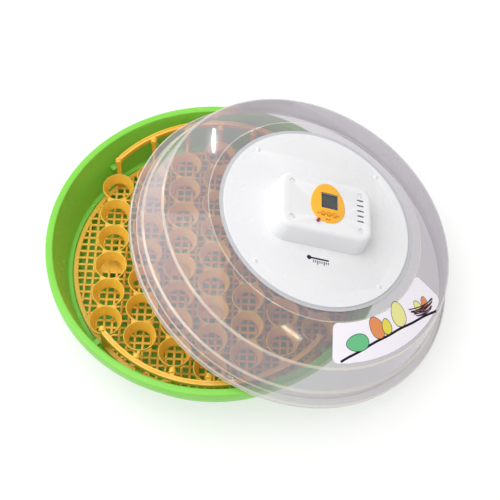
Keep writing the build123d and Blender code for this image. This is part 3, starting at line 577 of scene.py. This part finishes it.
dome_top, dome_wall = 107.5, 2.0
slope_foot, slope_head = (251.5, 81), (183, dome_top)
dome_line = [(283.2, 0, 0), (283.2, 2.5, 0), (283.2, 8.5, 2.4), (271.5, 8.5, 1.2), (268.5, 24, 1.5),
             (264.5, 26, 1.5), (*slope_foot, 10), (*slope_head, 10), (135, dome_top, 0)]
dome = turned_piece("clear_dome", dome_line, 256, clear_plastic, shut=False)
wall = dome.modifiers.new("wall", "SOLIDIFY")
wall.thickness = dome_wall * MM
wall.offset = -1
wall.use_even_offset = True
baked(dome)

# Painted highlight: faces near the dome's bends take this pale warm colour and a higher alpha, which draw the
# bright lines; the coat adds some real gloss.
bend_highlight_plastic = worn("clear_polystyrene_bend_painted_highlight", {
    "Base Color": hex_colour("#EDE4DC"), "Roughness": 0.14, "IOR": 1.59, "Alpha": 0.5,
    "Coat Weight": 1.0}, 30, 0.05)
dome.data.materials.append(bend_highlight_plastic)
# Rings of (radius, height, reach) round which the faces get the painted highlight.
highlight_bends = [(283.2, 1.2, 2.5), (283.2, 8.5, 2.6), (271.5, 8.5, 2.2), (266.5, 25, 2.2), (250.2, 80.6, 2.6),
         (185, 106, 1.6)]
for face in dome.data.polygons:
    middle = face.center / MM
    if any(math.hypot(math.hypot(middle.x, middle.y) - r, middle.z - h) < near for r, h, near in highlight_bends):
        face.material_index = 1


def on_lid(piece):
    """Carries a piece built level about the Z axis to where the leaning lid lies."""
    piece.data.transform(lid_place)


def lid_part(piece, node, corner=32.0):
    """Carries the piece to the lid, shades it and shows it in place of the CAD node."""
    on_lid(piece)
    soft_shaded(piece, corner)
    stands_for(piece, node)


def drilled(piece, cutters):
    """Cuts closed shapes out of the piece and removes them."""
    tool = cutters[0]
    join(tool, cutters[1:])
    cut = piece.modifiers.new("holes", "BOOLEAN")
    cut.operation = "DIFFERENCE"
    cut.solver = "EXACT"
    cut.object = tool
    baked(piece)
    bpy.data.objects.remove(tool)


def disc_outline(radius, x=0.0, y=0.0, count=32, start=0.0):
    """Evenly spaced points round a circle."""
    turns = [start + 2 * math.pi * i / count for i in range(count)]
    return [(x + radius * math.cos(turn), y + radius * math.sin(turn)) for turn in turns]


vent_radius, vent_height = 2.5, 56
vents = []
for bearing in (40, 140):
    vent = prism("vent", disc_outline(vent_radius), 240, 290, 0, clear_plastic)
    heading = Matrix.Rotation(math.radians(bearing), 4, "Z") @ Matrix.Rotation(math.pi / 2, 4, "Y")
    vent.data.transform(Matrix.Translation((0, 0, vent_height * MM)) @ heading)
    vents.append(vent)
drilled(dome, vents)
lid_part(dome, "lid_dome")

# ------------------------------------------------------------------ seal and disc
# A grey foam ring lies on the dome round its hole, and a white injection-moulded polystyrene disc is
# screwed down on it. Polystyrene of this kind is glossy, with faint sinks where ribs lie behind it.

seal_foam = moulded_plastic("grey_foam_gasket", "#C6C7CB", "#B8BABE", 0.8, 8, 0.7, 0.12)
seal_under, seal_top = dome_top, dome_top + 1.0
seal = turned_piece("disc_gasket", [(150, seal_under, 0.3), (166.5, seal_under, 0.3), (166.5, seal_top, 0.3),
                                    (150, seal_top, 0.3)], 160, seal_foam)
lid_part(seal, "disc_seal")

white_plastic = moulded_plastic("moulded_white_polystyrene", "#EBEBEC", "#E4E5E8", 0.26, 70, 1.2, 0.02)
disc_top = seal_top + 2.0
stands_for(eased_copy("top_disc", "white_disc", 0.7, white_plastic, 3), "top_disc")

screw_tree, given = new_tree("pan_head_screws", {
    "Head Radius": "Float", "Head Height": "Float", "Shank Radius": "Float", "Length": "Float",
    "Plastic": "Material"})
head = add_node(screw_tree, "GeometryNodeMeshUVSphere",
                {"Segments": 24, "Rings": 12, "Radius": given["Head Radius"]})
squash = maths(screw_tree, "DIVIDE", given["Head Height"], given["Head Radius"])
squat = add_node(screw_tree, "ShaderNodeCombineXYZ", {"X": 1.0, "Y": 1.0, "Z": squash})
flat_head = add_node(screw_tree, "GeometryNodeTransform",
                     {"Geometry": head.outputs["Mesh"], "Scale": squat.outputs["Vector"]})
shank = add_node(screw_tree, "GeometryNodeMeshCylinder", {
    "Vertices": 16, "Radius": given["Shank Radius"], "Depth": given["Length"]})
sunk = add_node(screw_tree, "ShaderNodeCombineXYZ", {
    "Z": maths(screw_tree, "MULTIPLY", given["Length"], -0.5)})
low_shank = add_node(screw_tree, "GeometryNodeTransform",
                     {"Geometry": shank.outputs["Mesh"], "Translation": sunk.outputs["Vector"]})
one_screw = add_node(screw_tree, "GeometryNodeJoinGeometry")
for part in (flat_head.outputs["Geometry"], low_shank.outputs["Geometry"]):
    screw_tree.links.new(part, one_screw.inputs["Geometry"])
every_screw = add_node(screw_tree, "GeometryNodeInstanceOnPoints",
                       {"Points": given["Geometry"], "Instance": one_screw.outputs["Geometry"]})
end_tree(screw_tree, every_screw.outputs["Instances"], given)


def oblong(x_low, x_high, y_low, y_high):
    return [(x_low, y_low), (x_high, y_low), (x_high, y_high), (x_low, y_high)]


def screws(name, node, spots, seat, length):
    """White pan-head screws at these spots of the lid, with a cross driven into each head."""
    piece = grow(points_object(name, [(x, y, seat) for x, y in spots]), screw_tree, {
        "Head Radius": 4 * MM, "Head Height": 1.8 * MM, "Shank Radius": 1.5 * MM,
        "Length": length * MM, "Plastic": white_plastic})
    for x, y in spots:
        for long_x, long_y in ((1.7, 0.4), (0.4, 1.7)):
            cross_bar = oblong(x - long_x, x + long_x, y - long_y, y + long_y)
            drilled(piece, [prism("recess", cross_bar, seat + 0.8, seat + 3, 0, white_plastic)])
    lid_part(piece, node)


disc_screw_circle, disc_screw_length = 148, 12
disc_spots = disc_outline(disc_screw_circle, count=4, start=math.pi / 4)
screws("disc_screw_set", "disc_screws", disc_spots, disc_top, disc_screw_length)

# ------------------------------------------------------------------ control box
# A two-part white polystyrene box on the disc: a floor with pillars and a deep cover with tapered
# walls, soft edges and five vent slots. The cover is screwed down in four counterbores.

stands_for(eased_copy("control_box_cover", "box_cover", 0.5, white_plastic, 3), "control_box_cover")
stands_for(eased_copy("control_box_base", "box_floor", 0.3, white_plastic), "control_box_base")
box_height, counterbore, box_screw_length = 36.5, 2.2, 18
box_top = disc_top + box_height
box_spots = [(x, y) for x in (-58, 58) for y in (-33, 33)]
screws("box_screw_set", "box_screws", box_spots, box_top - counterbore, box_screw_length)

# ------------------------------------------------------------------ egg-shaped bezel
# A yellow ABS moulding, crowned like half an egg, clipped over the display. It is glossy and deep in
# colour, so its rounded edge turns orange where less light falls on it.

bezel_plastic = moulded_plastic("glossy_yellow_abs", "#F9BC33", "#F3AC2A", 0.2, 25, 1.0, 0.015,
                                {"Coat Weight": 0.4, "Coat Roughness": 0.08})
egg_middle, egg_radius, egg_long = (1, -3), 29, 44
bezel_edge, bezel_crown = 1.5, 1.4
pane_middle, pane_side = (4, 8), 32


def egg_point(turn, scale):
    """A point of the bezel's outline, drawn in towards its middle by the scale."""
    reach = egg_long if math.sin(turn) > 0 else egg_radius
    x, y = egg_middle
    return (x + scale * egg_radius * math.cos(turn), y + scale * reach * math.sin(turn))


def skin(work, ribs, shut=False):
    """Fills the faces between neighbouring ribs of points; shut ribs are rings."""
    for a, b in zip(ribs, ribs[1:]):
        for i in range(len(a) if shut else len(a) - 1):
            k = (i + 1) % len(a)
            work.faces.new((a[i], a[k], b[k], b[i]))


def crowned_egg(name, low, edge, crown, material):
    """An egg-shaped plate with a rounded rim, rising by the crown towards its middle."""
    rings, count = 14, 120
    work = bmesh.new()
    shells = [(1.0, low), (1.0, low + edge * 0.5)]
    shells += [(1.0 - 0.05 * (1 - math.cos(a)), low + edge * (0.5 + 0.5 * math.sin(a)))
               for a in (math.pi * k / 12 for k in range(1, 7))]
    top_scale = shells[-1][0]
    shells += [(top_scale * (1 - k / rings), low + edge + crown * (1 - (1 - k / rings) ** 2))
               for k in range(1, rings)]
    loops = []
    for scale, height in shells:
        spots = [egg_point(2 * math.pi * i / count, scale) for i in range(count)]
        loops.append([work.verts.new((x * MM, y * MM, height * MM)) for x, y in spots])
    skin(work, loops, shut=True)
    work.faces.new(list(reversed(loops[0])))
    work.faces.new(loops[-1])
    return mesh_object(work, name, material)


def square(side, middle):
    x, y = middle
    return oblong(x - side / 2, x + side / 2, y - side / 2, y + side / 2)


bezel = crowned_egg("yellow_bezel", box_top, bezel_edge, bezel_crown, bezel_plastic)
pane_lip, button_radius, button_y = 1.5, 3.0, -17.0
button_xs = {"button_menu": -8, "button_up": 2, "button_down": 12}
pane_thick, pane_play, button_play = 1.2, 0.1, 0.3
window_side = pane_side - 2 * pane_lip
cut_low, cut_high = box_top - 1, box_top + 9
openings = [(square(window_side, pane_middle), cut_high),
            (square(pane_side + pane_play, pane_middle), box_top + pane_thick)]
openings += [(disc_outline(button_radius + button_play, x, button_y), cut_high) for x in button_xs.values()]
for outline, high in openings:
    drilled(bezel, [prism("opening", outline, cut_low, high, 0, bezel_plastic)])
lid_part(bezel, "display_bezel", 40)

# ------------------------------------------------------------------ display
# A liquid-crystal cell in a dark frame under a clear acrylic pane. The unlit cell is a dull grey-green
# with a violet cast at its edge, and the pane over it is hard and polished.

cell_glass, tree, shader = new_material("liquid_crystal_cell", {
    "Roughness": 0.22, "Coat Weight": 0.6, "Coat Roughness": 0.05})
tone = add_node(tree, "ShaderNodeValToRGB", {"Fac": clouds(tree, 14, 1.0)})
for stop, position, code in zip(tone.color_ramp.elements, (0.38, 0.62), ("#221C36", "#34402B")):
    stop.position = position
    stop.color = hex_colour(code)
tree.links.new(tone.outputs["Color"], shader.inputs["Base Color"])
frame_black = moulded_plastic("black_display_frame", "#1C0F1C", "#241626", 0.35, 10, 0.5, 0.02)

cell_side, module_low = window_side - 0.6, box_top - 9
lcd = prism("display_cell", square(cell_side, pane_middle), module_low, box_top - 1.4, 0.3, frame_black)
shelf = prism("shelf", square(pane_side, pane_middle), module_low, box_top - 2.9, 0.3, frame_black)
glass_middle, glass_side = (pane_middle[0] + 0.4, pane_middle[1] - 1.0), cell_side - 5.0
glass = prism("glass", square(glass_side, glass_middle), box_top - 2, box_top - 1.15, 0.2, cell_glass)


def join_coated(piece, extras):
    """Joins pieces that keep their own materials."""
    work = bmesh.new()
    work.from_mesh(piece.data)
    for extra in extras:
        first_face = len(work.faces)
        work.from_mesh(extra.data)
        work.faces.ensure_lookup_table()
        slot = len(piece.data.materials)
        piece.data.materials.append(extra.data.materials[0])
        for face in work.faces[first_face:]:
            face.material_index = slot
        bpy.data.objects.remove(extra)
    work.to_mesh(piece.data)
    work.free()


join_coated(lcd, [shelf, glass])
on_lid(lcd)
stands_for(lcd, "lcd_module")

pane_acrylic, tree, shader = new_material("polished_acrylic", {
    "Base Color": hex_colour("#8E93A0"), "IOR": 1.49, "Alpha": 0.1})
tree.links.new(mapped(tree, clouds(tree, 9, 5.0), 0.02, 0.12), shader.inputs["Roughness"])
pane = prism("clear_pane", square(pane_side, pane_middle), box_top, box_top + pane_thick, 0.15, pane_acrylic)
on_lid(pane)
stands_for(pane, "lcd_window")

# ------------------------------------------------------------------ buttons and lamp
# Three round caps of amber plastic stand just proud of the bezel, each with a dished top. The lamp is
# a round-nosed light-emitting diode of deep red epoxy that stands out of the cover.

button_amber = moulded_plastic("glossy_amber_abs", "#F3A526", "#EE9A20", 0.25, 6, 0.6, 0.01)
button_top, dish_radius, dish_depth = box_top + 3.8, button_radius * 0.62, 0.35
flange_radius, flange_low, flange_top = 4.2, box_top - 4, box_top - 2.8
for name, x in button_xs.items():
    cap = turned_piece(name + "_cap", [
        (0, flange_low, 0), (flange_radius, flange_low, 0), (flange_radius, flange_top, 0.2),
        (button_radius, flange_top, 0), (button_radius, button_top, 0.7), (dish_radius, button_top, 0.5),
        (0, button_top - dish_depth, 0)], 40, button_amber)
    cap.data.transform(Matrix.Translation((x * MM, button_y * MM, 0)))
    lid_part(cap, name)

led_red = worn("deep_red_epoxy", {
    "Base Color": hex_colour("#A4064A"), "Roughness": 0.12, "IOR": 1.53, "Subsurface Weight": 0.3,
    "Subsurface Scale": 0.003}, 2, 0.04)
led_spot, led_radius, led_low, led_top = (-16, -31), 2.8, box_top - 10.6, box_top + 6
lamp = turned_piece("status_lamp", [(0, led_low, 0), (led_radius, led_low, 0.3),
                                    (led_radius, led_top, led_radius * 0.95), (0, led_top, 0)], 32, led_red)
lamp.data.transform(Matrix.Translation((led_spot[0] * MM, led_spot[1] * MM, 0)))
lid_part(lamp, "status_led")

# ------------------------------------------------------------------ bezel marks
# Small brown pad-printed rings and marks on the bezel round the buttons. They are plain shapes.

mark_ink = worn("brown_pad_print", {"Base Color": hex_colour("#8A4A12"), "Roughness": 0.5}, 2, 0.08)


def crown_height(x, y):
    """Height of the bezel's top at a spot, a hair above it for print."""
    reach = egg_long if y > egg_middle[1] else egg_radius
    scale = math.hypot((x - egg_middle[0]) / egg_radius, (y - egg_middle[1]) / reach)
    share = min(1.0, scale / 0.95)
    return box_top + bezel_edge + bezel_crown * (1 - share ** 2) + 0.03


def printed_arc(name, middle, radius, start, sweep, width):
    """A thin flat stroke along an arc, laid on the bezel."""
    steps = max(6, round(abs(sweep) / 12))
    work = bmesh.new()
    ribs = []
    for i in range(steps + 1):
        a = math.radians(start + sweep * i / steps)
        rib = []
        for r in (radius - width / 2, radius + width / 2):
            x, y = middle[0] + r * math.cos(a), middle[1] + r * math.sin(a)
            rib.append((x * MM, y * MM, crown_height(x, y) * MM))
        ribs.append([work.verts.new(p) for p in rib])
    skin(work, ribs)
    raised = bmesh.ops.extrude_face_region(work, geom=list(work.faces))
    lifted = [v for v in raised["geom"] if isinstance(v, bmesh.types.BMVert)]
    bmesh.ops.translate(work, verts=lifted, vec=(0, 0, 0.08 * MM))
    bmesh.ops.recalc_face_normals(work, faces=work.faces)
    return mesh_object(work, name, mark_ink)


marks = [printed_arc("bezel_marks", (-15.5, -17.4), 0.6, 0, 360, 1.1)]
marks += [printed_arc("mark", (x, button_y), button_radius + 0.9, 0, 360, 0.5) for x in button_xs.values()]
marks += [printed_arc("mark", (-1.5, -26.6), 1.0, 0, 360, 0.9),
          printed_arc("mark", (2.5, -26.4), 1.3, 200, 250, 0.9),
          printed_arc("mark", (19.0, -17.0), 1.0, 20, 300, 0.7)]
join(marks[0], marks[1:])
on_lid(marks[0])
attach(marks[0], "lid")

# ------------------------------------------------------------------ electronics in the box
# Two green glass-epoxy boards with a potted supply, a relay, a screw terminal and small key switches.
# They keep the design's own shapes and get the finish of each real part.


def coated(node, material):
    """The CAD piece stays and takes this material."""
    for slot in frame["nodes"][node].material_slots:
        slot.material = material


board_green = moulded_plastic("solder_masked_glass_epoxy", "#1F6B3A", "#17552D", 0.35, 5, 0.6, 0.03)
potting_black = moulded_plastic("black_potting_compound", "#16171A", "#1E1F22", 0.45, 6, 0.8, 0.03)
relay_blue = moulded_plastic("blue_relay_case", "#2C5FB4", "#2756A6", 0.35, 8, 0.8, 0.01)
terminal_green = moulded_plastic("green_polyamide", "#2F9A4A", "#2A8C43", 0.45, 8, 0.8, 0.02)
for node, material in (("circuit_board", board_green), ("display_board", board_green),
                       ("power_supply", potting_black), ("tact_switches", potting_black),
                       ("relay", relay_blue), ("terminal_block", terminal_green)):
    coated(node, material)

# ------------------------------------------------------------------ heater under the lid
# A white-enamelled steel pan closes the dome's hole from below. It carries a sheathed rod heater in two
# bent clips with glazed ceramic end caps, a bright reflector over it, a probe and a thermal cut-out.

pan_white = moulded_plastic("white_enamelled_steel", "#EFEFEF", "#E6E7E8", 0.3, 40, 1.5, 0.03)
clip_steel, reflector_sheet, heater_sheath = [
    worn(name, {"Base Color": hex_colour(code), "Metallic": 1.0, "Roughness": roughness}, patch, spread)
    for name, code, roughness, patch, spread in (
        ("bent_spring_steel", "#B9B9B6", 0.35, 6, 0.1), ("bright_rolled_aluminium", "#DADCDD", 0.22, 9, 0.08),
        ("heat_tinted_steel_sheath", "#8E8377", 0.4, 12, 0.1))]
ceramic = moulded_plastic("glazed_steatite", "#EDE6D6", "#E4DBC8", 0.25, 10, 1.0, 0.02)
black_plastic = moulded_plastic("black_polyamide", "#1B1C1F", "#232428", 0.5, 10, 0.8, 0.03)

for node, name, edge, material in (
        ("heater_pan", "heater_pan_pressing", 0.8, pan_white),
        ("heater_clips", "heater_clip_pair", 0.4, clip_steel),
        ("reflector", "curved_reflector", 0.2, reflector_sheet),
        ("heater_tube", "rod_heater", 0.6, heater_sheath),
        ("heater_end_caps", "ceramic_caps", 1.0, ceramic),
        ("temperature_probe", "probe_tip", 0.6, clip_steel),
        ("thermal_cutout", "cutout_button", 0.6, black_plastic),
        ("cable_gland", "mains_gland", 0.6, black_plastic)):
    stands_for(eased_copy(node, name, edge, material), node)

# ------------------------------------------------------------------ label
# A die-cut white vinyl label, wrapped on the dome's slope, printed with a dark perch and four plain
# coloured eggs beside a nest. The print is generic and has no lettering.

vinyl = moulded_plastic("white_gloss_vinyl", "#FDF8FF", "#F6F1FB", 0.3, 50, 1.5, 0.01)
label_inner, label_outer, label_corner, label_thick = 185, 243, 9, 0.3
label_from, label_to = math.radians(-82), math.radians(-21)
slope = (slope_foot[1] - slope_head[1]) / (slope_foot[0] - slope_head[0])


def on_slope(x, y, lift):
    """A point lifted off the dome's slope, in metres."""
    height = slope_head[1] + (math.hypot(x, y) - slope_head[0]) * slope + lift
    return (x * MM, y * MM, height * MM)


def fan_sheet(name, material):
    """A sheet bent to the slope, made of rays and rings that follow its rounded ends."""
    work = bmesh.new()
    rays, rings = 96, 14
    mid = (label_inner + label_outer) / 2
    half = (label_outer - label_inner) / 2
    grid = []
    for i in range(rays + 1):
        share = 0.5 - 0.5 * math.cos(math.pi * i / rays)
        bearing = label_from + (label_to - label_from) * share
        edge = min(bearing - label_from, label_to - bearing) * mid
        pull = label_corner - math.sqrt(max(0, label_corner ** 2 - max(0, label_corner - edge) ** 2))
        ray = []
        for k in range(rings + 1):
            radius = mid + (half - pull) * (2 * k / rings - 1)
            x, y = radius * math.cos(bearing), radius * math.sin(bearing)
            ray.append(work.verts.new(on_slope(x, y, label_thick)))
        grid.append(ray)
    skin(work, grid)
    piece = mesh_object(work, name, material)
    thick = piece.modifiers.new("thick", "SOLIDIFY")
    thick.thickness = (label_thick - 0.02) * MM
    thick.offset = -1
    return baked(piece)


lid_part(fan_sheet("vinyl_label", vinyl), "label_sticker")

inks = {name: worn(name + "_screen_ink", {"Base Color": hex_colour(code), "Roughness": 0.35}, 5, 0.08)
        for name, code in (("dark", "#1E1030"), ("green", "#6CC489"), ("orange", "#E8935A"),
                           ("yellow", "#E8DC52"), ("pale", "#EEEA9A"), ("plum", "#5E1238"))}
label_middle = math.radians(-51.5)
label_along = Vector((-math.sin(label_middle), math.cos(label_middle)))
label_up = Vector((-math.cos(label_middle), -math.sin(label_middle)))
label_origin = -label_up * (label_inner + label_outer) / 2
layer_step, ink_thick = 0.04, 0.03


def label_point(work, s, t, lift):
    """A vertex over the label, s along it and t up it from its middle."""
    spot = label_origin + label_along * s + label_up * t
    return work.verts.new(on_slope(spot.x, spot.y, lift))


def printed(rings, ink, layer):
    """A patch of ink on the label from rings of points in the label's own plane, outermost first."""
    work = bmesh.new()
    high = label_thick + layer_step * layer
    loops = [[label_point(work, s, t, high - ink_thick) for s, t in rings[0]]]
    loops += [[label_point(work, s, t, high) for s, t in ring] for ring in rings]
    skin(work, loops, shut=True)
    work.faces.new(loops[-1])
    return mesh_object(work, "ink", inks[ink])


def stroke(points, width, ink, layer):
    """A printed stroke of even width along a few points, laid as a strip."""
    line = [Vector(p) for p in points]
    work = bmesh.new()
    ribs = []
    for i, spot in enumerate(line):
        ahead = (line[min(i + 1, len(line) - 1)] - line[max(i - 1, 0)]).normalized()
        across = Vector((-ahead.y, ahead.x)) * width / 2
        ribs.append([label_point(work, *(spot + side), label_thick + layer_step * layer)
                     for side in (across, -across)])
    skin(work, ribs)
    bmesh.ops.solidify(work, geom=list(work.faces), thickness=ink_thick * MM)
    bmesh.ops.recalc_face_normals(work, faces=work.faces)
    return mesh_object(work, "ink", inks[ink])


perch_fall = 0.038


def perch_height(s):
    return -4.6 - perch_fall * s


def egg_print(s, lift, half_wide, half_long, tilt, colour, layer):
    """A plain egg with a dark outline, lifted off the perch and tilted by some degrees."""
    middle, lean = (s, perch_height(s) + lift), math.radians(tilt)
    outline_width, taper, count = 1.0, 0.14, 36
    patches = []
    for ink, swell, step in (("dark", outline_width, 0), (colour, 0.0, 1)):
        rings = []
        for share in (1, 0.8, 0.6, 0.4, 0.2):
            ring = []
            for i in range(count):
                a = 2 * math.pi * i / count
                x = share * (half_wide + swell) * math.cos(a) * (1 - taper * math.sin(a))
                y = share * (half_long + swell) * math.sin(a)
                ring.append((middle[0] + x * math.cos(lean) - y * math.sin(lean),
                             middle[1] + x * math.sin(lean) + y * math.cos(lean)))
            rings.append(ring)
        patches.append(printed(rings, ink, layer + step))
    return patches


perch_points = [(s, perch_height(s) + 0.4 * math.sin(s / 9)) for s in range(-110, 103, 4)]
print_patches = [stroke(perch_points, 3.6, "dark", 1)]
nest_s, nest_reach, nest_depth = 76, 30, 13
for egg in ((-70, 12, 12, 20, 72, "green", 2), (-27, 18, 12, 17, 10, "orange", 2),
            (-9, 12.5, 8.5, 11.5, -10, "yellow", 4), (22, 21, 13.5, 19, -6, "pale", 2),
            (nest_s - 9, 19 - 9 * perch_fall, 6.5, 9, 18, "pale", 2),
            (nest_s + 8, 19 + 8 * perch_fall, 6.5, 9, -14, "orange", 2)):
    print_patches += egg_print(*egg)
for k in range(8):
    share = k / 7
    reach = nest_reach * (0.62 + 0.38 * share)
    rise = perch_height(nest_s) + 3 + nest_depth * share
    slant = 1.8 * math.sin(2.4 * k)
    twig = [(nest_s + reach * u, rise + slant * u + 3.5 * u * u) for u in (i / 6 for i in range(-6, 7))]
    print_patches.append(stroke(twig, 1.7, "plum", 4 + k % 3))
join_coated(print_patches[0], print_patches[1:])
label_print = print_patches[0]
label_print.name = label_print.data.name = "label_print"
on_lid(label_print)
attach(label_print, "lid")

# ------------------------------------------------------------------ range mark
# A small dark violet scale, screen-printed on the disc under the box: a bulb, a stem and short ticks.
# It stands for a temperature range without any words.


def flat_prism(outline):
    return prism("mark_part", outline, disc_top - 0.02, disc_top + 0.25, 0, inks["dark"])


mark_y, tick_half, tick_pitch = -81, 0.7, 3.6
range_parts = [flat_prism(disc_outline(3.8, -15.5, mark_y + 3.4, 24)),
               flat_prism(oblong(-15, 18, mark_y + 2.0, mark_y + 4.8))]
for k in range(8):
    tick_x = tick_pitch * k - 8
    tick_end = mark_y - (7.0 if k in (2, 5) else 4.0)
    range_parts.append(flat_prism(oblong(tick_x - tick_half, tick_x + tick_half, tick_end, mark_y)))
join(range_parts[0], range_parts[1:])
range_print = range_parts[0]
range_print.name = range_print.data.name = "range_scale"
on_lid(range_print)
stands_for(range_print, "range_mark")

low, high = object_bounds()
